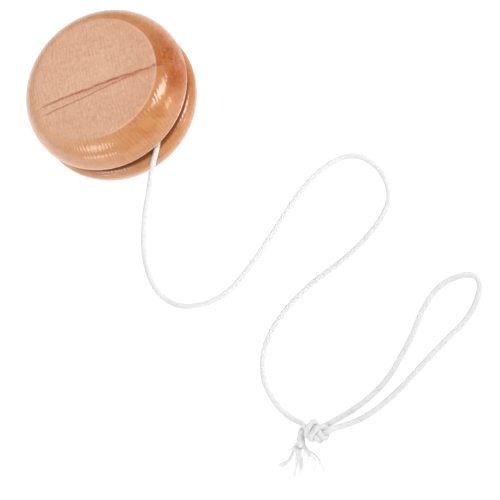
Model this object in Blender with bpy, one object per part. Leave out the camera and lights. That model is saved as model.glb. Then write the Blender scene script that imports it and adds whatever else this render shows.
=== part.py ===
"""A plain turned wooden yo-yo lying flat, with its cotton string, finger loop and frayed tail.

Frame: metres, +Z up along the axle. The origin is the centre of the rear half's flat face, at the
height of the surface that the yo-yo lies on.
"""

import math

import bmesh
import bpy
from mathutils import Vector

# Turned halves
DIAMETER = 0.055
WIDTH = 0.027
FACE_DIAMETER = 0.0414
SHOULDER_REACH = 0.0082  # from the shoulder curve's centre circle out to the rim
RIM_HEIGHT = 0.0042  # from the middle plane to the widest circle of a half
LIP_RADIUS = 0.0258
LIP_GAP = 0.0032  # between the two lips
AXLE_GAP = 0.0025  # between the inner faces beside the axle
BOSS_RADIUS = 0.0065  # flat of the inner face round the hole
LIP_ANGLE = 62  # degrees that the lip's curve turns under the rim
HALF_STEPS = 88  # flat facets round one half
SHOULDER_STEPS = 12
LIP_STEPS = 5

# Axle dowel and the holes that it is glued into
AXLE_RADIUS = 0.004
AXLE_CHAMFER = 0.0005
AXLE_STEPS = 40
HOLE_DEPTH = 0.0085
CLEARANCE = 0.0003  # between two pieces that touch

# String
CORD_RADIUS = 0.00085
WINDING_RADIUS = 0.017
WINDING_THICKNESS = 0.0018
WINDING_STEPS = 64
WINDING_EDGE_STEPS = 6
CURVE_SAMPLES = 20  # between two points of a route
POINT_SPACING = 0.005  # along a cord's tube

KNOT_CENTRE = (0.0751, -0.1044, 0.0030)
KNOT_RADII = (0.0048, 0.0036, 0.00295)
KNOT_SEGMENTS = (20, 12)

TAIL_HEIGHT = (0.0001, 0.0017)  # bottom and top of the loosened tail
TAIL_ROOT = ((0.0691, -0.1062), (0.0714, -0.1073))
TAIL_ENDS = ((0.0714, -0.1110), (0.0764, -0.1183), (0.0708, -0.1186), (0.0686, -0.1190),
             (0.0660, -0.1150), (0.0630, -0.1170), (0.0620, -0.1155), (0.0672, -0.1108))

# From the winding, out of the gap, over the rear half and along the surface to the knot
LEAD_ROUTE = [
    (0.0182, 0.0000, 0.0135), (0.0182, -0.0090, 0.0134), (0.0181, -0.0180, 0.0131),
    (0.0168, -0.0241, 0.0119), (0.0141, -0.0305, 0.0066), (0.0119, -0.0374, 0.0023),
    (0.0119, -0.0456, 0.0010), (0.0135, -0.0532, 0.0009), (0.0165, -0.0598, 0.0009),
    (0.0206, -0.0645, 0.0009), (0.0257, -0.0671, 0.0009), (0.0310, -0.0675, 0.0009),
    (0.0373, -0.0658, 0.0009), (0.0430, -0.0620, 0.0009), (0.0474, -0.0565, 0.0009),
    (0.0517, -0.0497, 0.0009), (0.0573, -0.0399, 0.0009), (0.0630, -0.0302, 0.0009),
    (0.0688, -0.0232, 0.0009), (0.0748, -0.0192, 0.0009), (0.0802, -0.0184, 0.0009),
    (0.0857, -0.0210, 0.0009), (0.0899, -0.0262, 0.0009), (0.0914, -0.0322, 0.0009),
    (0.0897, -0.0381, 0.0009), (0.0855, -0.0446, 0.0009), (0.0789, -0.0516, 0.0009),
    (0.0689, -0.0600, 0.0009), (0.0627, -0.0667, 0.0009), (0.0578, -0.0746, 0.0009),
    (0.0557, -0.0824, 0.0009), (0.0567, -0.0901, 0.0009), (0.0606, -0.0966, 0.0009),
    (0.0655, -0.1009, 0.0010), (0.0702, -0.1030, 0.0013),
]

# From the knot, round the finger loop and back to the knot
LOOP_ROUTE = [
    (0.0794, -0.1011, 0.0013), (0.0840, -0.0983, 0.0009), (0.0893, -0.0940, 0.0009),
    (0.0943, -0.0882, 0.0009), (0.0981, -0.0812, 0.0009), (0.1009, -0.0750, 0.0009),
    (0.1035, -0.0677, 0.0009), (0.1070, -0.0616, 0.0009), (0.1112, -0.0582, 0.0009),
    (0.1156, -0.0567, 0.0009), (0.1187, -0.0573, 0.0009), (0.1199, -0.0600, 0.0009),
    (0.1189, -0.0652, 0.0009), (0.1160, -0.0706, 0.0009), (0.1106, -0.0766, 0.0009),
    (0.1049, -0.0832, 0.0009), (0.0982, -0.0910, 0.0009), (0.0926, -0.0966, 0.0009),
    (0.0868, -0.1007, 0.0009), (0.0806, -0.1033, 0.0013),
]


def clear_scene():
    for obj in list(bpy.data.objects):
        bpy.data.objects.remove(obj)


def new_material(name, colour, roughness):
    material = bpy.data.materials.new(name)
    material.use_nodes = True
    shader = material.node_tree.nodes["Principled BSDF"]
    shader.inputs["Base Color"].default_value = (*colour, 1.0)
    shader.inputs["Roughness"].default_value = roughness
    shader.inputs["Metallic"].default_value = 0.0
    material.diffuse_color = (*colour, 1.0)
    return material


def link_object(name, data, material, parent=None):
    data.materials.append(material)
    obj = bpy.data.objects.new(name, data)
    obj.parent = parent
    bpy.context.scene.collection.objects.link(obj)
    return obj


def turned_mesh(name, outline):
    """A mesh that holds only the outline, (radius, height) points, for a Screw modifier to turn."""
    mesh = bpy.data.meshes.new(name)
    points = [(radius, 0.0, height) for radius, height in outline]
    edges = [(i, i + 1) for i in range(len(points) - 1)]
    mesh.from_pydata(points, edges, [])
    return mesh


def add_turning(obj, steps):
    """Turn the outline all the way round Z."""
    screw = obj.modifiers.new("Turn", "SCREW")
    screw.axis = "Z"
    screw.angle = 2 * math.pi
    screw.steps = steps
    screw.render_steps = steps
    screw.use_merge_vertices = True
    screw.merge_threshold = 0.00001
    screw.use_smooth_shade = True


def arc(centre, radii, first, last, count):
    """Points on an ellipse from angle first to angle last, in degrees from the radial direction."""
    found = []
    for i in range(count + 1):
        angle = math.radians(first + (last - first) * i / count)
        found.append((centre[0] + radii[0] * math.cos(angle), centre[1] + radii[1] * math.sin(angle)))
    return found


def half_outline():
    """One half's section above the middle plane, from the face's centre out and back to the hole."""
    rim = DIAMETER / 2
    face = FACE_DIAMETER / 2
    top = WIDTH / 2
    centre = rim - SHOULDER_REACH
    face_angle = math.acos((face - centre) / SHOULDER_REACH)
    shoulder_height = (top - RIM_HEIGHT) / math.sin(face_angle)
    shoulder = arc((centre, RIM_HEIGHT), (SHOULDER_REACH, shoulder_height),
                   math.degrees(face_angle), 0, SHOULDER_STEPS)

    drop = (RIM_HEIGHT - LIP_GAP / 2) / math.sin(math.radians(LIP_ANGLE))
    inset = (rim - LIP_RADIUS) / (1 - math.cos(math.radians(LIP_ANGLE)))
    under_rim = arc((rim - inset, RIM_HEIGHT), (inset, drop), 0, -LIP_ANGLE, LIP_STEPS)[1:]

    hole = AXLE_RADIUS + CLEARANCE
    hole_end = AXLE_GAP / 2 + HOLE_DEPTH
    inner = [(BOSS_RADIUS, AXLE_GAP / 2), (hole, AXLE_GAP / 2), (hole, hole_end), (0.0, hole_end)]
    return [(0.0, top)] + shoulder + under_rim + inner


def make_halves(spinner):
    wood = new_material("lacquered_wood", (0.62, 0.36, 0.19), 0.28)
    mesh = turned_mesh("turned_half", half_outline())
    front = link_object("front_half", mesh, wood, spinner)
    rear = bpy.data.objects.new("rear_half", mesh)
    rear.parent = spinner
    rear.rotation_euler = (math.pi, 0.0, 0.0)
    bpy.context.scene.collection.objects.link(rear)
    for half in (front, rear):
        add_turning(half, HALF_STEPS)


def make_axle(spinner):
    dowel = new_material("dowel_wood", (0.70, 0.50, 0.30), 0.6)
    half_length = AXLE_GAP / 2 + HOLE_DEPTH - CLEARANCE
    inner = AXLE_RADIUS - AXLE_CHAMFER
    outline = [(0.0, half_length), (inner, half_length), (AXLE_RADIUS, half_length - AXLE_CHAMFER),
               (AXLE_RADIUS, AXLE_CHAMFER - half_length), (inner, -half_length), (0.0, -half_length)]
    axle = link_object("axle_dowel", turned_mesh("axle_dowel", outline), dowel, spinner)
    add_turning(axle, AXLE_STEPS)


def make_winding(cotton):
    """The turns on the axle as one closed ring with a rounded section."""
    half = WINDING_THICKNESS / 2
    inner = AXLE_RADIUS + CLEARANCE
    outer_side = arc((WINDING_RADIUS - half, 0.0), (half, half), 90, -90, WINDING_EDGE_STEPS)
    inner_side = [(inner, -half), (inner, half)]
    outline = outer_side + inner_side
    mesh = turned_mesh("string_winding", outline + [outline[0]])
    bm = bmesh.new()
    bm.from_mesh(mesh)
    bmesh.ops.remove_doubles(bm, verts=bm.verts, dist=1e-7)
    bm.to_mesh(mesh)
    bm.free()
    winding = link_object("string_winding", mesh, cotton)
    winding.location = (0.0, 0.0, WIDTH / 2)
    add_turning(winding, WINDING_STEPS)


def smooth_points(route, spacing):
    """Evenly spaced points on a centripetal Catmull-Rom curve through the route."""
    knots = [Vector(p) for p in route]
    knots = [2 * knots[0] - knots[1]] + knots + [2 * knots[-1] - knots[-2]]
    dense = []
    for a, b, c, d in zip(knots, knots[1:], knots[2:], knots[3:]):
        t1 = (b - a).length ** 0.5
        t2 = t1 + (c - b).length ** 0.5
        t3 = t2 + (d - c).length ** 0.5
        for i in range(CURVE_SAMPLES):
            t = t1 + (t2 - t1) * i / CURVE_SAMPLES
            ab = a.lerp(b, t / t1)
            bc = b.lerp(c, (t - t1) / (t2 - t1))
            cd = c.lerp(d, (t - t2) / (t3 - t2))
            early = ab.lerp(bc, t / t2)
            late = bc.lerp(cd, (t - t1) / (t3 - t1))
            dense.append(early.lerp(late, (t - t1) / (t2 - t1)))
    dense.append(knots[-2])

    lengths = [0.0]
    for a, b in zip(dense, dense[1:]):
        lengths.append(lengths[-1] + (b - a).length)
    count = round(lengths[-1] / spacing)
    found = []
    index = 0
    for i in range(count + 1):
        wanted = lengths[-1] * i / count
        while index < len(dense) - 2 and lengths[index + 1] < wanted:
            index += 1
        part = (wanted - lengths[index]) / (lengths[index + 1] - lengths[index])
        found.append(dense[index].lerp(dense[index + 1], part))
    return found


def make_tube(name, route, cotton):
    points = smooth_points(route, POINT_SPACING)
    curve = bpy.data.curves.new(name, "CURVE")
    curve.dimensions = "3D"
    curve.bevel_depth = CORD_RADIUS
    curve.bevel_resolution = 2
    curve.use_fill_caps = True
    spline = curve.splines.new("POLY")
    spline.points.add(len(points) - 1)
    for place, point in zip(spline.points, points):
        place.co = (*point, 1.0)
    link_object(name, curve, cotton)


def make_knot(cotton):
    mesh = bpy.data.meshes.new("loop_knot")
    bm = bmesh.new()
    bmesh.ops.create_uvsphere(bm, u_segments=KNOT_SEGMENTS[0], v_segments=KNOT_SEGMENTS[1],
                              radius=1.0)
    bmesh.ops.scale(bm, vec=KNOT_RADII, verts=bm.verts)
    bm.to_mesh(mesh)
    bm.free()
    mesh.shade_smooth()
    knot = link_object("loop_knot", mesh, cotton)
    knot.location = KNOT_CENTRE


def make_tail(cotton):
    """The loosened end: a flat fan that opens from the knot."""
    outline = list(TAIL_ROOT) + list(TAIL_ENDS)
    mesh = bpy.data.meshes.new("frayed_tail")
    bm = bmesh.new()
    bottom = bm.faces.new([bm.verts.new((x, y, TAIL_HEIGHT[0])) for x, y in outline])
    raised = bmesh.ops.extrude_face_region(bm, geom=[bottom])["geom"]
    verts = [item for item in raised if isinstance(item, bmesh.types.BMVert)]
    bmesh.ops.translate(bm, vec=(0, 0, TAIL_HEIGHT[1] - TAIL_HEIGHT[0]), verts=verts)
    bmesh.ops.triangulate(bm, faces=[face for face in bm.faces if len(face.verts) > 4])
    bmesh.ops.recalc_face_normals(bm, faces=bm.faces)
    bm.to_mesh(mesh)
    bm.free()
    link_object("frayed_tail", mesh, cotton)


def main():
    clear_scene()
    spinner = bpy.data.objects.new("spin_axis", None)
    spinner.location = (0.0, 0.0, WIDTH / 2)
    bpy.context.scene.collection.objects.link(spinner)
    make_halves(spinner)
    make_axle(spinner)

    cotton = new_material("cotton_cord", (0.86, 0.86, 0.85), 0.9)
    make_winding(cotton)
    make_tube("string_lead", LEAD_ROUTE, cotton)
    make_knot(cotton)
    make_tube("finger_loop", LOOP_ROUTE, cotton)
    make_tail(cotton)


main()
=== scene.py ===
"""Looks of the wooden yo-yo and its cotton string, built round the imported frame.

The halves are turned again at a fine pitch and get a solid wood material. The string is one long
line: wound on the axle, out along the table, through a loop knot tied by a small simulation, round
the finger loop, back through the knot, and out into a frayed end. Eight yarns are braided along it.
"""

import math

import bpy
import numpy as np
from mathutils import Matrix, Vector


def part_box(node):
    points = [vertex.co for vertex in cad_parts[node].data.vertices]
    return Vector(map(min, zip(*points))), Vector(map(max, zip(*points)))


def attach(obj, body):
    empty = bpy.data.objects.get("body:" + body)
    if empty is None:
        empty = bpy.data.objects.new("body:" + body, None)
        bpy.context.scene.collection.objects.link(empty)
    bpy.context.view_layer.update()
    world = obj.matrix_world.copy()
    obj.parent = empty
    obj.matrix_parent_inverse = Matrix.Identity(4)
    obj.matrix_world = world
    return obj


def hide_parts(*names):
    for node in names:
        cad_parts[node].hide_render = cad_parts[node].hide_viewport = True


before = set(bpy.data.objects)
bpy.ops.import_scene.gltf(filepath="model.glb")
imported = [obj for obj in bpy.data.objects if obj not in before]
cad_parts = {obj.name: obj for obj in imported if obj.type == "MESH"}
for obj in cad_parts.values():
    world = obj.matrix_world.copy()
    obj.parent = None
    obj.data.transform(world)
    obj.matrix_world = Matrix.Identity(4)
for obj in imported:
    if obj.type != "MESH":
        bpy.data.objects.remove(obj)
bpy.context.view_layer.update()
rng = np.random.default_rng(11)

# The camera looks down on the table from the front right, and is rolled to the left.
CAMERA_TARGET = (0.0480, -0.0488, 0.0)
CAMERA_DISTANCE = 0.377
CAMERA_AZIMUTH = 47.5
CAMERA_ELEVATION = 65.7
CAMERA_ROLL = -44.8
CAMERA_LENS = 86.4

# Turned halves, as in the frame's section
FACE_RADIUS = 0.0207
FACE_EDGE = 0.0005
SHOULDER_REACH = 0.0082
RIM_HEIGHT = 0.0042
LIP_RADIUS = 0.0258
LIP_GAP = 0.0032
LIP_ANGLE = 62
AXLE_GAP = 0.0025
MIDDLE_HEIGHT = 0.0135
BOSS_RADIUS = 0.0065
BEAD_HEIGHT = 0.0030
BEAD_RADIUS = 0.0002
HOLE_RADIUS = 0.0043
HOLE_DEPTH = 0.0085
TURNING_STEPS = 256
GRAIN_ANGLE = 19
CHATTER_ANGLE = 52
SWIRL_CENTRE = (0.0243, 0.0078, 0.0237)

# String
CORD_RADIUS = 0.00085
RING_SPACING = 0.00032
WOUND_SPACING = 0.00055
WOUND_TURNS = 7
BRAID_LAY = 0.0088
YARNS_EACH_WAY = 4
YARN_CENTRE = 0.00056
YARN_WAVE = 0.00005
YARN_THICK = 0.00019
YARN_WIDE = 0.00050
YARN_SIDES = 6
CORE_RADIUS = 0.00066
KNOT_CENTRE = (0.0748, -0.1043, 0.0026)
KNOT_START = 0.00035
KNOT_CORD = 0.00155
KNOT_ROLL = 262
LOWEST_CORD = 0.00098
FUZZ_SPACING = 0.0008
STUB_LENGTH = 0.0055

# part.py's routes, from the winding to the knot and round the finger loop. On the table, their
# points were listed one by one along the cord in the photo and projected onto the table's plane.
LEAD_ROUTE = [
    (0.0182, 0.0000, 0.0135), (0.0182, -0.0090, 0.0134), (0.0181, -0.0180, 0.0131),
    (0.0168, -0.0241, 0.0119), (0.0141, -0.0305, 0.0066), (0.0119, -0.0374, 0.0023),
    (0.0119, -0.0456, 0.0010), (0.0135, -0.0532, 0.0009), (0.0165, -0.0598, 0.0009),
    (0.0206, -0.0645, 0.0009), (0.0257, -0.0671, 0.0009), (0.0310, -0.0675, 0.0009),
    (0.0373, -0.0658, 0.0009), (0.0430, -0.0620, 0.0009), (0.0474, -0.0565, 0.0009),
    (0.0517, -0.0497, 0.0009), (0.0573, -0.0399, 0.0009), (0.0630, -0.0302, 0.0009),
    (0.0688, -0.0232, 0.0009), (0.0748, -0.0192, 0.0009), (0.0802, -0.0184, 0.0009),
    (0.0857, -0.0210, 0.0009), (0.0899, -0.0262, 0.0009), (0.0914, -0.0322, 0.0009),
    (0.0897, -0.0381, 0.0009), (0.0855, -0.0446, 0.0009), (0.0789, -0.0516, 0.0009),
    (0.0689, -0.0600, 0.0009), (0.0627, -0.0667, 0.0009), (0.0578, -0.0746, 0.0009),
    (0.0557, -0.0824, 0.0009), (0.0567, -0.0901, 0.0009), (0.0606, -0.0966, 0.0009),
    (0.0655, -0.1009, 0.0010), (0.0702, -0.1030, 0.0013),
]
LOOP_ROUTE = [
    (0.0794, -0.1011, 0.0013), (0.0840, -0.0983, 0.0009), (0.0893, -0.0940, 0.0009),
    (0.0943, -0.0882, 0.0009), (0.0981, -0.0812, 0.0009), (0.1009, -0.0750, 0.0009),
    (0.1035, -0.0677, 0.0009), (0.1070, -0.0616, 0.0009), (0.1112, -0.0582, 0.0009),
    (0.1156, -0.0567, 0.0009), (0.1187, -0.0573, 0.0009), (0.1199, -0.0600, 0.0009),
    (0.1189, -0.0652, 0.0009), (0.1160, -0.0706, 0.0009), (0.1106, -0.0766, 0.0009),
    (0.1049, -0.0832, 0.0009), (0.0982, -0.0910, 0.0009), (0.0926, -0.0966, 0.0009),
    (0.0868, -0.1007, 0.0009), (0.0806, -0.1033, 0.0013),
]
TAIL_ROUTE = [(0.0697, -0.1085, 0.0013), (0.0694, -0.1094, 0.0012)]

# The unravelled yarns, placed the same way: route over the table, fibres, bundle radius at the
# root and at the tip, fibre radius
FRAYED_YARNS = [
    ([(0.0692, -0.1088), (0.0675, -0.1109), (0.0669, -0.1122), (0.0663, -0.1137), (0.0654, -0.1146),
      (0.0642, -0.1152), (0.0628, -0.1162)], 26, 0.00040, 0.00130, 0.00008),
    ([(0.0692, -0.1090), (0.0686, -0.1112), (0.0686, -0.1146), (0.0685, -0.1169),
      (0.0682, -0.1192)], 26, 0.00044, 0.00050, 0.00009),
    ([(0.0694, -0.1090), (0.0691, -0.1112), (0.0699, -0.1152), (0.0701, -0.1168),
      (0.0700, -0.1188)], 24, 0.00042, 0.00065, 0.00009),
    ([(0.0696, -0.1090), (0.0697, -0.1110), (0.0702, -0.1132), (0.0706, -0.1146),
      (0.0713, -0.1164)], 20, 0.00040, 0.00048, 0.00009),
    ([(0.0701, -0.1085), (0.0709, -0.1101), (0.0710, -0.1122)], 12, 0.00038, 0.00055, 0.00009),
    ([(0.0702, -0.1085), (0.0723, -0.1106), (0.0738, -0.1113), (0.0749, -0.1123), (0.0760, -0.1140),
      (0.0767, -0.1155), (0.0771, -0.1178)], 13, 0.00030, 0.00070, 0.00007),
    ([(0.0702, -0.1085), (0.0718, -0.1106), (0.0721, -0.1126), (0.0724, -0.1142), (0.0737, -0.1155),
      (0.0749, -0.1170)], 15, 0.00034, 0.00085, 0.00007),
    ([(0.0702, -0.1085), (0.0722, -0.1112), (0.0736, -0.1125), (0.0745, -0.1138), (0.0745, -0.1154),
      (0.0750, -0.1188)], 14, 0.00030, 0.00090, 0.00007),
    ([(0.0690, -0.1086), (0.0671, -0.1100), (0.0658, -0.1109), (0.0648, -0.1121),
      (0.0646, -0.1131)], 7, 0.00022, 0.00065, 0.00006),
    ([(0.0691, -0.1092), (0.0675, -0.1115), (0.0670, -0.1132), (0.0675, -0.1140)], 6, 0.00020,
     0.00045, 0.00006),
    ([(0.0690, -0.1088), (0.0678, -0.1088), (0.0665, -0.1072), (0.0655, -0.1056),
      (0.0652, -0.1043)], 3, 0.00010, 0.00025, 0.00005),
]


# ---- studio ----

def add_camera():
    azimuth = math.radians(CAMERA_AZIMUTH)
    elevation = math.radians(CAMERA_ELEVATION)
    away = Vector((math.sin(azimuth) * math.cos(elevation),
                   -math.cos(azimuth) * math.cos(elevation), math.sin(elevation)))
    data = bpy.data.cameras.new("camera")
    data.sensor_width = 36.0
    data.lens = CAMERA_LENS
    data.clip_start = 0.01
    camera = bpy.data.objects.new("camera", data)
    bpy.context.scene.collection.objects.link(camera)
    turn = (-away).to_track_quat("-Z", "Y").to_matrix()
    roll = Matrix.Rotation(math.radians(CAMERA_ROLL), 3, "Z")
    place = Matrix.Translation(Vector(CAMERA_TARGET) + away * CAMERA_DISTANCE)
    camera.matrix_world = place @ (turn @ roll).to_4x4()
    bpy.context.scene.camera = camera


def add_softbox(name, direction, size, radiance, distance=0.6, roll=0.0):
    """An area light aimed at the origin; its power follows from the radiance that it shows."""
    data = bpy.data.lights.new(name, "AREA")
    data.shape = "RECTANGLE"
    data.size, data.size_y = size
    data.energy = radiance * math.pi * size[0] * size[1]
    light = bpy.data.objects.new(name, data)
    bpy.context.scene.collection.objects.link(light)
    away = Vector(direction).normalized()
    light.location = away * distance
    turn = away.to_track_quat("Z", "Y").to_matrix() @ Matrix.Rotation(math.radians(roll), 3, "Z")
    light.rotation_euler = turn.to_euler()


def add_lights():
    add_softbox("softbox_left", (-0.26, -0.74, 0.63), (0.26, 0.22), 4.6, roll=-12)
    add_softbox("softbox_right", (0.62, 0.17, 0.76), (0.19, 0.32), 10.6)
    add_softbox("low_left", (-0.20, -0.98, 0.08), (0.30, 0.09), 5.2)
    add_softbox("low_right", (0.99, -0.07, 0.09), (0.11, 0.26), 5.4)
    add_softbox("overhead", (-0.35, 0.30, 0.89), (0.9, 0.9), 0.6, distance=1.0)
    world = bpy.data.worlds.new("studio")
    world.use_nodes = True
    background = world.node_tree.nodes["Background"]
    background.inputs["Color"].default_value = (1.0, 1.0, 1.0, 1.0)
    background.inputs["Strength"].default_value = 0.345
    bpy.context.scene.world = world
    bpy.context.scene.view_settings.view_transform = "Standard"


def add_floor():
    """A pale sheet that also glows a little, so it stays nearly free of shadows."""
    half = 2.0
    corners = [(-half, -half, 0), (half, -half, 0), (half, half, 0), (-half, half, 0)]
    floor = mesh_object("floor", corners, [(0, 1, 2, 3)])
    material = bpy.data.materials.new("floor_white")
    material.use_nodes = True
    shader = material.node_tree.nodes["Principled BSDF"]
    shader.inputs["Base Color"].default_value = (0.30, 0.30, 0.30, 1.0)
    shader.inputs["Roughness"].default_value = 0.9
    shader.inputs["Emission Color"].default_value = (1.0, 1.0, 1.0, 1.0)
    shader.inputs["Emission Strength"].default_value = 0.85
    floor.data.materials.append(material)


def mesh_object(name, points, faces):
    mesh = bpy.data.meshes.new(name)
    mesh.from_pydata([tuple(p) for p in points], [], [tuple(f) for f in faces])
    mesh.update()
    mesh.shade_smooth()
    obj = bpy.data.objects.new(name, mesh)
    bpy.context.scene.collection.objects.link(obj)
    return obj


# ---- materials ----

class Shading:
    """A Principled material, with short calls that add nodes and link them."""

    def __init__(self, name):
        self.material = bpy.data.materials.new(name)
        self.material.use_nodes = True
        self.tree = self.material.node_tree
        self.shader = self.tree.nodes["Principled BSDF"]

    def link(self, value, socket):
        if isinstance(value, bpy.types.NodeSocket):
            self.tree.links.new(value, socket)
        else:
            socket.default_value = value

    def node(self, kind, values=(), **settings):
        node = self.tree.nodes.new(kind)
        for key, value in settings.items():
            setattr(node, key, value)
        for key, value in dict(values).items():
            self.link(value, node.inputs[key])
        return node

    def place(self):
        return self.node("ShaderNodeTexCoord").outputs["Object"]

    def stretch(self, vector, scale, turn=0.0):
        values = {"Vector": vector, "Rotation": (0, 0, math.radians(turn)), "Scale": scale}
        return self.node("ShaderNodeMapping", values, vector_type="POINT").outputs[0]

    def noise(self, vector, scale=1.0, detail=2.0, roughness=0.5, distortion=0.0):
        values = {"Vector": vector, "Scale": scale, "Detail": detail, "Roughness": roughness,
                  "Distortion": distortion}
        return self.node("ShaderNodeTexNoise", values).outputs["Fac"]

    def math(self, operation, a, b=0.0, c=0.0):
        return self.node("ShaderNodeMath", {0: a, 1: b, 2: c}, operation=operation).outputs[0]

    def between(self, value, low, high, to_low=0.0, to_high=1.0):
        """A smooth step of the value, from to_low at low to to_high at high."""
        values = {"Value": value, "From Min": low, "From Max": high, "To Min": to_low,
                  "To Max": to_high}
        return self.node("ShaderNodeMapRange", values, interpolation_type="SMOOTHSTEP").outputs[0]

    def mix(self, factor, a, b, blend="MIX"):
        node = self.node("ShaderNodeMix", data_type="RGBA", blend_type=blend, clamp_factor=True)
        self.link(factor, node.inputs[0])
        self.link(a, node.inputs[6])
        self.link(b, node.inputs[7])
        return node.outputs[2]

    def bump(self, height, distance, strength=1.0, normal=None):
        values = {"Height": height, "Distance": distance, "Strength": strength}
        if normal is not None:
            values["Normal"] = normal
        return self.node("ShaderNodeBump", values).outputs[0]

    def finish(self, **inputs):
        for key, value in inputs.items():
            self.link(value, self.shader.inputs[key.replace("_", " ")])
        return self.material


def near(shading, place, centre, full, reach):
    """1 within `full` of the centre and 0 beyond `reach`, all in the object's own frame."""
    away = shading.node("ShaderNodeVectorMath", {0: place, 1: centre}, operation="DISTANCE")
    return shading.between(away.outputs["Value"], full, reach, 1.0, 0.0)


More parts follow.
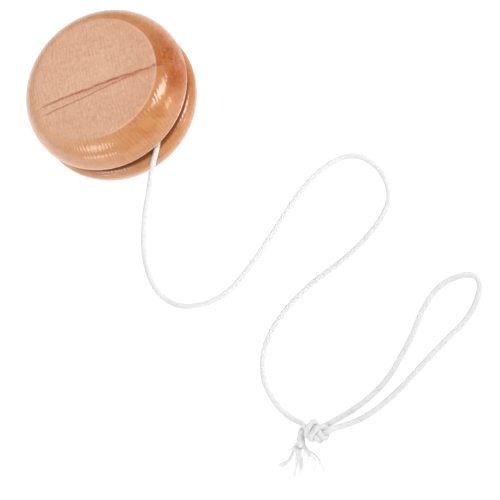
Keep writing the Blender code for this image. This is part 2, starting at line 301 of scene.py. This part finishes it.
def lacquered_wood():
    """Pale flat-grained wood with a knot streak, under a gloss lacquer that thins over the dark knot."""
    s = Shading("lacquered_wood")
    place = s.place()
    x, y, z = s.node("ShaderNodeSeparateXYZ", {0: place}).outputs
    radius = s.math("SQRT", s.math("ADD", s.math("MULTIPLY", x, x), s.math("MULTIPLY", y, y)))
    shoulder = s.between(radius, FACE_RADIUS - 0.0003, FACE_RADIUS + 0.0005)

    grain = s.stretch(place, (1, 1, 1), -GRAIN_ANGLE)
    u, v, _ = s.node("ShaderNodeSeparateXYZ", {0: grain}).outputs
    fibres = s.noise(s.stretch(grain, (110, 1500, 900)), detail=4, roughness=0.6)
    bands = s.noise(s.stretch(grain, (14, 150, 60)), detail=2, distortion=0.4)
    flecks = s.noise(s.stretch(grain, (500, 2400, 1500)), detail=2)
    mottle = s.noise(s.stretch(grain, (1100, 800, 900)), detail=3, roughness=0.7)
    cloud = s.noise(place, scale=170, detail=3)

    # Ripples across the fibres, 1.1 mm apart, broken up by noise
    wander = s.noise(s.stretch(grain, (170, 130, 130)), detail=2)
    phase = s.math("MULTIPLY_ADD", u, 2 * math.pi / 0.0011, s.math("MULTIPLY", wander, 16.0))
    broken = s.between(s.noise(place, scale=260, detail=3), 0.36, 0.60)
    ripples = s.math("MULTIPLY", s.math("SINE", phase), broken)

    # Tool chatter across the shoulder, strongest towards +x -y
    slanted = s.node("ShaderNodeSeparateXYZ", {0: s.stretch(place, (1, 1, 1), -CHATTER_ANGLE)}).outputs[0]
    chatter = s.math("MULTIPLY_ADD", slanted, 2 * math.pi / 0.0013, s.math("MULTIPLY", wander, 6.0))
    chatter = s.between(s.math("SINE", chatter), 0.1, 0.95)
    chatter = s.math("MULTIPLY", chatter, near(s, place, (0.0170, -0.0170, 0.0235), 0.0050, 0.0130))
    chatter = s.math("MULTIPLY", s.math("MULTIPLY", chatter, shoulder),
                     s.between(s.noise(place, scale=420, detail=3), 0.38, 0.62))

    # The faces are pale; the lacquered shoulder is amber, and paler towards -u
    face = s.mix(s.between(bands, 0.3, 0.7), (0.735, 0.430, 0.285, 1), (0.710, 0.390, 0.245, 1))
    warm = s.math("MULTIPLY_ADD", s.between(u, 0.002, 0.020), 0.6, s.between(v, -0.006, -0.018, 0.0, 0.4))
    face = s.mix(warm, face, (0.640, 0.320, 0.185, 1))
    amber = s.mix(s.between(bands, 0.3, 0.7), (0.560, 0.210, 0.062, 1), (0.615, 0.265, 0.096, 1))
    honey = s.mix(s.between(v, -0.028, -0.010), (0.660, 0.320, 0.155, 1), (0.770, 0.440, 0.265, 1))
    amber = s.mix(s.between(u, -0.012, 0.014), honey, amber)
    figure = s.between(s.noise(s.stretch(grain, (210, 330, 300)), detail=3, distortion=0.6), 0.46, 0.66)
    figure = s.math("MULTIPLY", figure, s.between(u, -0.010, 0.012, 0.1, 0.5))
    amber = s.mix(figure, amber, (0.470, 0.150, 0.030, 1))
    colour = s.mix(shoulder, face, amber)

    # End grain and a knot on one side of the front half drink the lacquer
    dark = near(s, place, (0.0262, 0.0060, 0.0240), 0.0036, 0.0175)
    dark = s.math("MULTIPLY", dark, s.math("MULTIPLY", shoulder, s.between(cloud, 0.36, 0.58, 0.35, 1.0)))
    colour = s.mix(dark, colour, (0.46, 0.112, 0.018, 1))
    patch = near(s, place, (0.0190, 0.0128, 0.0262), 0.0012, 0.0066)
    patch = s.math("MULTIPLY", s.math("MULTIPLY", patch, shoulder), s.between(cloud, 0.42, 0.56, 0.25, 0.75))
    colour = s.mix(patch, colour, (0.40, 0.120, 0.040, 1))
    deep = near(s, place, (0.0262, 0.0012, 0.0236), 0.0006, 0.0056)
    colour = s.mix(s.math("MULTIPLY", deep, 0.9), colour, (0.40, 0.060, 0.006, 1))
    tangle = s.noise(place, scale=520, detail=3)
    eye = s.node("ShaderNodeVectorMath", {0: place, 1: SWIRL_CENTRE}, operation="DISTANCE")
    rings = s.math("MULTIPLY_ADD", eye.outputs["Value"], 3400.0, s.math("MULTIPLY", tangle, 22.0))
    rings = s.between(s.math("SINE", rings), 0.0, 1.0)
    swirl = s.math("MULTIPLY", rings, near(s, place, SWIRL_CENTRE, 0.0024, 0.0048))
    colour = s.mix(s.math("MULTIPLY", swirl, 0.75), colour, (0.24, 0.050, 0.012, 1))

    # Two thin resin lines that run with the grain and meet near the knot
    wobble = s.math("MULTIPLY", s.math("SUBTRACT", s.noise(s.stretch(grain, (260, 60, 60)), detail=4), 0.5),
                    0.0013)
    upper = s.math("MULTIPLY_ADD", s.math("MULTIPLY", u, u), 1.6, 0.00285)
    upper = s.math("ADD", s.math("ADD", v, upper), wobble)
    lower = s.math("MULTIPLY_ADD", u, -0.088, 0.00482)
    lower = s.math("ADD", s.math("ADD", v, lower), wobble)
    front = s.between(z, 0.0190, 0.0215)
    in_reach = s.math("MULTIPLY", s.between(u, -0.0228, -0.0150), s.between(u, 0.0250, 0.0205))
    in_reach = s.math("MULTIPLY", front, in_reach)
    vary = s.between(s.noise(s.stretch(grain, (420, 900, 300)), detail=3), 0.32, 0.62, 0.55, 1.0)
    line = s.math("MULTIPLY", s.between(s.math("ABSOLUTE", upper), 0.00008, 0.00062, 1.0, 0.0), vary)
    thin = s.math("MULTIPLY", s.between(s.math("ABSOLUTE", lower), 0.00004, 0.00046, 0.8, 0.0), vary)
    wash = s.between(s.math("ABSOLUTE", s.math("ADD", upper, 0.0006)), 0.0003, 0.0016, 0.55, 0.0)
    wash = s.math("MULTIPLY", wash, s.between(u, -0.0140, 0.0020, 0.3, 1.0))
    colour = s.mix(s.math("MULTIPLY", wash, in_reach), colour, (0.62, 0.235, 0.100, 1))
    streak = s.math("MULTIPLY", s.math("MAXIMUM", line, thin), in_reach)
    colour = s.mix(streak, colour, (0.34, 0.065, 0.018, 1))

    # Fine dark pores, uneven fibres and the ripples' own shade
    colour = s.mix(s.between(flecks, 0.56, 0.76, 0.0, 0.34), colour, (0.47, 0.22, 0.11, 1))
    colour = s.mix(s.between(fibres, 0.50, 0.75, 0.0, 0.24), colour, (0.50, 0.24, 0.11, 1))
    colour = s.mix(s.between(mottle, 0.50, 0.72, 0.0, 0.50), colour, (0.54, 0.27, 0.14, 1))
    pale = s.math("MULTIPLY", s.between(mottle, 0.48, 0.28, 0.0, 0.40),
                  s.math("MULTIPLY_ADD", shoulder, -0.85, 1.0))
    colour = s.mix(pale, colour, (0.86, 0.60, 0.44, 1))
    shade = s.math("MULTIPLY", s.between(ripples, -0.2, 1.0), s.math("MULTIPLY_ADD", shoulder, 0.10, 0.26))
    colour = s.mix(shade, colour, (0.50, 0.21, 0.07, 1))

    colour = s.mix(s.math("MULTIPLY", chatter, 0.45), colour, (0.42, 0.135, 0.024, 1))
    # Painted highlight: a pale line along the face's edge, only on the +x side
    edge_highlight = s.math("ABSOLUTE", s.math("SUBTRACT", radius, FACE_RADIUS - 0.0001))
    edge_highlight = s.between(edge_highlight, 0.0001, 0.0004, 0.28, 0.0)
    colour = s.mix(s.math("MULTIPLY", edge_highlight, s.between(x, 0.002, 0.012)), colour, (0.90, 0.62, 0.46, 1))

    # Painted shade darkens the gap between the halves, over the lips and inner faces, and a painted
    # highlight runs pale along the front half's lip bead
    level = s.math("SUBTRACT", z, MIDDLE_HEIGHT)
    groove_shade = s.math("MULTIPLY", s.between(level, 0.0014, 0.0020, 0.9, 0.0),
                    s.between(level, -0.0021, -0.0015))
    colour = s.mix(groove_shade, colour, (0.30, 0.080, 0.024, 1))
    # Painted highlight: the front half's lip bead is painted pale where it would catch the light
    wear_and_highlight = s.between(s.math("ABSOLUTE", s.math("SUBTRACT", level, BEAD_HEIGHT)), BEAD_RADIUS,
                     1.3 * BEAD_RADIUS, 0.8, 0.0)
    colour = s.mix(wear_and_highlight, colour, (0.94, 0.66, 0.47, 1))

    height = s.math("ADD", s.math("MULTIPLY", ripples, 0.6), s.math("MULTIPLY", fibres, 0.08))
    normal = s.bump(height, 0.000030)
    gloss = s.math("MULTIPLY", s.between(ripples, -0.3, 0.6, 1.0, 0.65),
                   s.math("MULTIPLY_ADD", s.math("MAXIMUM", dark, deep), -0.7, 1.0))
    s.link(normal, s.shader.inputs["Normal"])
    s.link(normal, s.shader.inputs["Coat Normal"])
    return s.finish(Base_Color=colour, Roughness=s.math("MULTIPLY_ADD", shoulder, -0.20, 0.50),
                    Specular_IOR_Level=0.1, Coat_Weight=gloss, Coat_Roughness=0.17, Coat_IOR=1.6)


def dowel_wood():
    """Plain birch, unlacquered, with its fibres along the axle."""
    s = Shading("dowel_wood")
    place = s.place()
    fibres = s.noise(s.stretch(place, (2500, 2500, 120)), detail=4)
    rings = s.noise(s.stretch(place, (600, 600, 20)), detail=2)
    colour = s.mix(s.between(rings, 0.3, 0.7), (0.62, 0.42, 0.26, 1), (0.52, 0.33, 0.19, 1))
    colour = s.mix(s.between(fibres, 0.5, 0.8, 0.0, 0.5), colour, (0.38, 0.22, 0.12, 1))
    s.link(s.bump(fibres, 0.0001), s.shader.inputs["Normal"])
    return s.finish(Base_Color=colour, Roughness=0.75)


def cotton_cord():
    """White cotton yarn: matt, uneven, greyer at the knot and loop, paler where it frays."""
    s = Shading("cotton_cord")
    place = s.place()
    fibres = s.noise(place, scale=9000, detail=3, roughness=0.65)
    patches = s.noise(place, scale=260, detail=2)
    handled = near(s, place, (0.1050, -0.0760, 0.0), 0.0300, 0.0560)
    clean = s.mix(s.between(patches, 0.3, 0.7), (0.835, 0.835, 0.850, 1), (0.810, 0.810, 0.828, 1))
    wear_and_highlight = s.mix(s.between(patches, 0.3, 0.7), (0.785, 0.785, 0.785, 1), (0.740, 0.740, 0.745, 1))
    handled = s.math("MAXIMUM", handled, near(s, place, KNOT_CENTRE, 0.0035, 0.0055))
    colour = s.mix(handled, clean, wear_and_highlight)
    unravelled = near(s, place, (0.0705, -0.1150, 0.0), 0.0035, 0.0065)
    colour = s.mix(unravelled, colour, (0.970, 0.970, 0.977, 1))
    colour = s.mix(s.between(fibres, 0.55, 0.8, 0.0, 0.1), colour, (0.80, 0.80, 0.81, 1))
    s.link(s.bump(fibres, 0.00002), s.shader.inputs["Normal"])
    return s.finish(Base_Color=colour, Roughness=0.9, Sheen_Weight=0.30, Sheen_Roughness=0.5)


# ---- turned wood ----

def arc(centre, radii, first, last, count):
    angles = np.radians(np.linspace(first, last, count + 1))
    return [(centre[0] + radii[0] * math.cos(a), centre[1] + radii[1] * math.sin(a)) for a in angles]


def half_outline(rim, top):
    """A half's section above the middle plane, out from the face's centre and back to the hole."""
    centre = rim - SHOULDER_REACH
    face_angle = math.acos((FACE_RADIUS - centre) / SHOULDER_REACH)
    shoulder = (top - RIM_HEIGHT) / math.sin(face_angle)
    outline = [((FACE_RADIUS - FACE_EDGE) * i / 20, top) for i in range(21)]
    slope = math.degrees(face_angle)
    outline += arc((centre, RIM_HEIGHT), (SHOULDER_REACH, shoulder), slope - 3, 0, 48)
    # A shallow cove under the rim ends in a fine bead, and the lip turns in below it
    cove = rim - 2.25 * BEAD_RADIUS
    outline += [(rim - 0.00005, RIM_HEIGHT - 0.0002), (rim - 0.0002, RIM_HEIGHT - 0.00045),
                (cove - 0.00005, RIM_HEIGHT - 0.0008)]
    outline += arc((cove, BEAD_HEIGHT), (BEAD_RADIUS, BEAD_RADIUS), 80, -60, 8)
    drop = (RIM_HEIGHT - LIP_GAP / 2) / math.sin(math.radians(LIP_ANGLE))
    inset = (rim - LIP_RADIUS) / (1 - math.cos(math.radians(LIP_ANGLE)))
    outline += arc((rim - inset, RIM_HEIGHT), (inset, drop), -32, -LIP_ANGLE, 10)
    for i in range(1, 13):
        part = i / 12
        outline.append((LIP_RADIUS + (BOSS_RADIUS - LIP_RADIUS) * part,
                        (LIP_GAP + (AXLE_GAP - LIP_GAP) * part) / 2))
    outline += [(HOLE_RADIUS, AXLE_GAP / 2), (HOLE_RADIUS, AXLE_GAP / 2 + HOLE_DEPTH),
                (0.0, AXLE_GAP / 2 + HOLE_DEPTH)]
    return outline


def turned(name, outline, middle, sign):
    """The outline turned round Z; sign -1 gives the mirrored half."""
    angles = np.linspace(0, 2 * math.pi, TURNING_STEPS, endpoint=False)
    points = [(0.0, 0.0, middle + sign * outline[0][1])]
    for radius, height in outline[1:-1]:
        points += [(radius * math.cos(a), radius * math.sin(a), middle + sign * height) for a in angles]
    points.append((0.0, 0.0, middle + sign * outline[-1][1]))
    rings = len(outline) - 2
    last = len(points) - 1
    faces = []
    for j in range(TURNING_STEPS):
        k = (j + 1) % TURNING_STEPS
        faces.append((0, 1 + j, 1 + k))
        for i in range(rings - 1):
            a = 1 + i * TURNING_STEPS
            b = a + TURNING_STEPS
            faces.append((a + j, b + j, b + k, a + k))
        a = 1 + (rings - 1) * TURNING_STEPS
        faces.append((a + j, last, a + k))
    if sign < 0:
        faces = [face[::-1] for face in faces]
    return mesh_object(name, points, faces)


def build_halves():
    _, front_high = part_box("front_half")
    rear_low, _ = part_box("rear_half")
    middle = (front_high.z + rear_low.z) / 2
    outline = half_outline(front_high.x, front_high.z - middle)
    wood = lacquered_wood()
    for name, node, sign in (("front_turning", "front_half", 1), ("rear_turning", "rear_half", -1)):
        half = turned(name, outline, middle, sign)
        half.data.materials.append(wood)
        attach(half, "rotor")
        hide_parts(node)
    bpy.data.objects["axle_dowel"].material_slots[0].material = dowel_wood()


# ---- string ----

def evenly(line, spacing):
    along = np.concatenate([[0], np.cumsum(np.linalg.norm(np.diff(line, axis=0), axis=1))])
    at = np.linspace(0, along[-1], round(along[-1] / spacing) + 1)
    return np.stack([np.interp(at, along, line[:, k]) for k in range(3)], axis=1)


def smooth_line(route, spacing=RING_SPACING):
    """Evenly spaced points on a centripetal Catmull-Rom curve through the route."""
    knots = [Vector(p) for p in route]
    knots = [2 * knots[0] - knots[1]] + knots + [2 * knots[-1] - knots[-2]]
    dense = []
    for a, b, c, d in zip(knots, knots[1:], knots[2:], knots[3:]):
        t1 = (b - a).length ** 0.5
        t2 = t1 + (c - b).length ** 0.5
        t3 = t2 + (d - c).length ** 0.5
        for i in range(12):
            t = t1 + (t2 - t1) * i / 12
            ab = a.lerp(b, t / t1)
            bc = b.lerp(c, (t - t1) / (t2 - t1))
            cd = c.lerp(d, (t - t2) / (t3 - t2))
            dense.append(ab.lerp(bc, t / t2).lerp(bc.lerp(cd, (t - t1) / (t3 - t1)), (t - t1) / (t2 - t1)))
    dense.append(knots[-2])
    return evenly(np.array(dense), spacing)


def unit(vectors):
    return vectors / np.linalg.norm(vectors, axis=-1, keepdims=True)


def sides_along(tangents):
    """A normal at each tangent that turns as little as possible from one to the next."""
    side = unit(np.cross(tangents[0], (0.0, 0.0, 1.0)))
    sides = []
    for tangent in tangents:
        side = unit(side - tangent * (side @ tangent))
        sides.append(side)
    return np.array(sides)


class Mesh:
    """Points and faces of many closed tubes, gathered into one mesh."""

    def __init__(self):
        self.points, self.faces, self.total = [], [], 0

    def add(self, points, faces):
        self.points.append(points)
        self.faces += [[v + self.total for v in face] for face in faces]
        self.total += len(points)

    def tube(self, centres, across, up, sides):
        """An oval tube round the centres, closed at both ends."""
        around = np.linspace(0, 2 * math.pi, sides, endpoint=False)
        rings = centres[:, None] + across[:, None] * np.cos(around)[None, :, None]
        rings = rings + up[:, None] * np.sin(around)[None, :, None]
        i, j = np.meshgrid(np.arange(len(centres) - 1), np.arange(sides), indexing="ij")
        k = (j + 1) % sides
        quads = np.stack([i * sides + j, i * sides + k, (i + 1) * sides + k, (i + 1) * sides + j], -1)
        last = (len(centres) - 1) * sides
        ends = [list(range(sides))[::-1], list(range(last, last + sides))]
        self.add(rings.reshape(-1, 3), quads.reshape(-1, 4).tolist() + ends)

    def fibre(self, line, radius, sides=3):
        """A hair-thin tube that tapers to its tip."""
        tangents = unit(np.gradient(line, axis=0))
        side = sides_along(tangents)
        taper = np.linspace(1.0, 0.45, len(line))[:, None] * radius
        self.tube(line, side * taper, np.cross(tangents, side) * taper, sides)

    def object(self, name):
        """The gathered mesh; soft yarn that meets the table lies flat on it."""
        points = np.concatenate(self.points)
        points[:, 2] = np.maximum(points[:, 2], 0.00001)
        return mesh_object(name, points, self.faces)


def winding_line(start):
    """A flat spiral from the axle out to where the lead starts, heading -Y there."""
    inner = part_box("axle_dowel")[1].x + CORD_RADIUS + 0.0002
    outer = start[0]
    turn = np.linspace(0, 1, 160 * WOUND_TURNS)
    radius = inner + (outer - inner) * turn
    angle = 2 * math.pi * WOUND_TURNS * (1 - turn)
    line = np.stack([radius * np.cos(angle), radius * np.sin(angle), np.full(len(turn), start[2])], 1)
    return evenly(line, WOUND_SPACING)


def loose_knot(half, roll):
    """A long overhand knot on a line along X, opened out: the start of the tying."""
    t = np.linspace(-2.1, 2.1, 500)
    x = (t ** 5 - 10 * t) / (2.1 ** 5 - 21)
    y = (t ** 3 - 3 * t) * 0.135
    z = (t ** 4 - 4 * t ** 2 + 1) * 0.135
    c, s = math.cos(roll), math.sin(roll)
    return np.stack([x, c * y - s * z, s * y + c * z], 1) * half


def tie_knot(anchors, count=90, steps=600):
    """Two strands pulled tight in an overhand knot; each keeps its ends on its two anchors."""
    middle = loose_knot(0.0075, math.radians(KNOT_ROLL))
    side = sides_along(unit(np.gradient(middle, axis=0))) * 0.00018
    strands = []
    for (first, last), sign in zip(anchors, (1, -1)):
        loose = middle + np.array(KNOT_CENTRE) + side * sign
        route = np.concatenate([np.linspace(first, loose[0], 60)[:-1], loose,
                                np.linspace(loose[-1], last, 60)[1:]])
        along = np.concatenate([[0], np.cumsum(np.linalg.norm(np.diff(route, axis=0), axis=1))])
        at = np.linspace(0, along[-1], count)
        strands.append(np.stack([np.interp(at, along, route[:, k]) for k in range(3)], axis=1))
    points = np.concatenate(strands)
    held = np.zeros(2 * count, bool)
    held[[0, count - 1, count, -1]] = True
    index = np.tile(np.arange(count), 2)
    strand = np.repeat([0, 1], count)
    apart = np.abs(index[:, None] - index[None])
    other = strand[:, None] != strand[None]
    upper = np.triu(np.ones((2 * count, 2 * count), bool), 1)
    for step in range(steps):
        thickness = KNOT_START + (KNOT_CORD - KNOT_START) * min(1.0, step / (0.6 * steps))
        for first in (0, count):
            part = points[first:first + count]
            pull = 0.25 * (0.5 * (part[:-2] + part[2:]) - part[1:-1])
            pull[held[first + 1:first + count - 1]] = 0
            part[1:-1] += pull
        spacing = np.linalg.norm(np.diff(points[:count], axis=0), axis=1).mean()
        allowed = upper & (other | (apart > math.ceil(1.5 * thickness / spacing)))
        for sweep in range(3):
            between = points[:, None] - points[None]
            distance = np.sqrt((between ** 2).sum(2))
            i, j = np.nonzero(allowed & (distance < thickness))
            if not len(i):
                break
            gap = np.maximum(distance[i, j], 1e-7)
            push = between[i, j] * ((thickness - gap) / gap / 2)[:, None]
            move = np.zeros_like(points)
            hits = np.zeros(2 * count)
            np.add.at(move, i, push)
            np.add.at(move, j, -push)
            np.add.at(hits, i, 1)
            np.add.at(hits, j, 1)
            move /= np.maximum(hits / 2, 1)[:, None]
            move[held] = 0
            points += move
        points[:, 2] = np.maximum(points[:, 2], CORD_RADIUS)
    return points[:count], points[count:]


class Cord:
    """The string's whole line, with the frames and lengths that its braid follows."""

    def __init__(self, line):
        self.line = line
        self.tangents = unit(np.gradient(line, axis=0))
        self.sides = sides_along(self.tangents)
        self.ups = np.cross(self.tangents, self.sides)
        self.along = np.concatenate([[0], np.cumsum(np.linalg.norm(np.diff(line, axis=0), axis=1))])

    def nearest(self, point, after=0):
        return after + int(np.argmin(np.linalg.norm(self.line[after:] - np.array(point), axis=1)))

    def braid(self, mesh, first, last, widths):
        """Eight yarns braided round a core from one ring to another; widths scale its two ends."""
        cut = slice(first, last + 1)
        line, sides, ups, along = self.line[cut], self.sides[cut], self.ups[cut], self.along[cut]
        width = np.linspace(*widths, len(line))[:, None]
        wave = np.cos(2 * math.pi * along * YARNS_EACH_WAY / BRAID_LAY)[:, None]
        for way in (1, -1):
            for k in range(YARNS_EACH_WAY):
                angle = way * 2 * math.pi * along / BRAID_LAY + 2 * math.pi * k / YARNS_EACH_WAY
                out = sides * np.cos(angle)[:, None] + ups * np.sin(angle)[:, None]
                centres = line + out * (YARN_CENTRE + way * YARN_WAVE * wave) * width
                direction = unit(np.gradient(centres, axis=0))
                across = unit(np.cross(out, direction))
                lift = np.cross(direction, across)
                mesh.tube(centres, across * YARN_WIDE * width, lift * YARN_THICK * width, YARN_SIDES)
        core = CORE_RADIUS * width[::3]
        mesh.tube(line[::3], sides[::3] * core, ups[::3] * core, YARN_SIDES)

    def fuzz(self, mesh, first, last, spacing):
        """Short loose fibres that stand off the cord and never reach below the table."""
        count = int((self.along[last] - self.along[first]) / spacing)
        for ring in rng.integers(first, last, count):
            angle = rng.uniform(0, 2 * math.pi)
            out = self.sides[ring] * math.cos(angle) + self.ups[ring] * math.sin(angle)
            reach = rng.uniform(0.0003, 0.0009)
            slide = rng.uniform(-0.0008, 0.0008)
            curl = rng.normal(0, 0.00015, 3)
            t = np.linspace(0, 1, 4)[:, None]
            hair = self.line[ring] + out * (0.00065 + reach * t) + self.tangents[ring] * slide * t
            hair = hair + curl * t ** 2
            hair[:, 2] = np.maximum(hair[:, 2], 0.00003)
            mesh.fibre(hair, 0.000014)


def frayed_end(mesh):
    """Yarns out of the braid, each a twisted bundle of fibres that opens towards its tip."""
    for route, fibres, root, tip, thickness in FRAYED_YARNS:
        height = [0.0011] + [0.0006 + 0.0003 * math.sin(2.1 * i) for i in range(1, len(route))]
        line = smooth_line([(x, y, z) for (x, y), z in zip(route, height)], 0.00025)
        tangents = unit(np.gradient(line, axis=0))
        side = sides_along(tangents)
        up = np.cross(tangents, side)
        t = np.linspace(0, 1, len(line))
        radius = root + (tip - root) * t ** 3
        for k in range(fibres):
            share = math.sqrt((k + 0.5) / fibres)
            turn = 2.4 * k + 9.0 * t * (1 - 0.4 * t) + rng.uniform(-0.4, 0.4)
            drift = rng.normal(0, 1, 3) * tip * 0.35
            fibre = line + (side * np.cos(turn)[:, None] + up * np.sin(turn)[:, None]) * (
                radius * share)[:, None]
            fibre = fibre + drift * t[:, None] ** 3
            fibre = fibre[:max(6, int(len(fibre) * rng.uniform(0.88, 1.0)))]
            fibre[:, 2] = np.maximum(fibre[:, 2], thickness)
            mesh.fibre(fibre[::2], thickness, 5)


def build_string():
    winding = winding_line(LEAD_ROUTE[0])
    tail_start = np.array(TAIL_ROUTE[0])
    strand_a, strand_b = tie_knot([(np.array(LEAD_ROUTE[-1]), np.array(LOOP_ROUTE[0])),
                                   (tail_start, np.array(LOOP_ROUTE[-1]))])
    through = [tuple(p) for p in strand_a[6:-6:2]]
    back = [tuple(p) for p in strand_b[::-1][6:-2:2]]
    route = LEAD_ROUTE[:-1] + through + LOOP_ROUTE[1:-1] + back + TAIL_ROUTE
    free = smooth_line(route)
    free[:, 2] = np.maximum(free[:, 2], LOWEST_CORD)
    cord = Cord(np.concatenate([winding[:-1], free]))

    cotton = cotton_cord()
    into = cord.nearest(LEAD_ROUTE[-1])
    loop_from = cord.nearest(LOOP_ROUTE[1], into)
    loop_to = cord.nearest(LOOP_ROUTE[-2], loop_from + 200)
    end = len(cord.line) - 1
    pieces = {}
    stub = end - int(STUB_LENGTH / RING_SPACING)
    for name, parts in (("string_lead_braid", [(0, into, (1.08, 1.10))]),
                        ("loop_knot_braid", [(into, loop_from, (1.10, 1.12)),
                                             (loop_to, stub, (1.12, 1.10)),
                                             (stub, end, (1.10, 1.85))]),
                        ("finger_loop_braid", [(loop_from, loop_to, (1.12, 1.12))])):
        mesh = Mesh()
        for first, last, widths in parts:
            cord.braid(mesh, first, last, widths)
            cord.fuzz(mesh, max(first, len(winding)), last, FUZZ_SPACING)
        pieces[name] = mesh.object(name)
    mesh = Mesh()
    frayed_end(mesh)
    pieces["frayed_tail_fibres"] = mesh.object("frayed_tail_fibres")
    stands_for = {"string_lead_braid": ("string_winding", "string_lead"),
                  "loop_knot_braid": ("loop_knot",), "finger_loop_braid": ("finger_loop",),
                  "frayed_tail_fibres": ("frayed_tail",)}
    for name, piece in pieces.items():
        piece.data.materials.append(cotton)
        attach(piece, "string")
        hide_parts(*stands_for[name])


add_camera()
add_floor()
add_lights()
build_halves()
build_string()
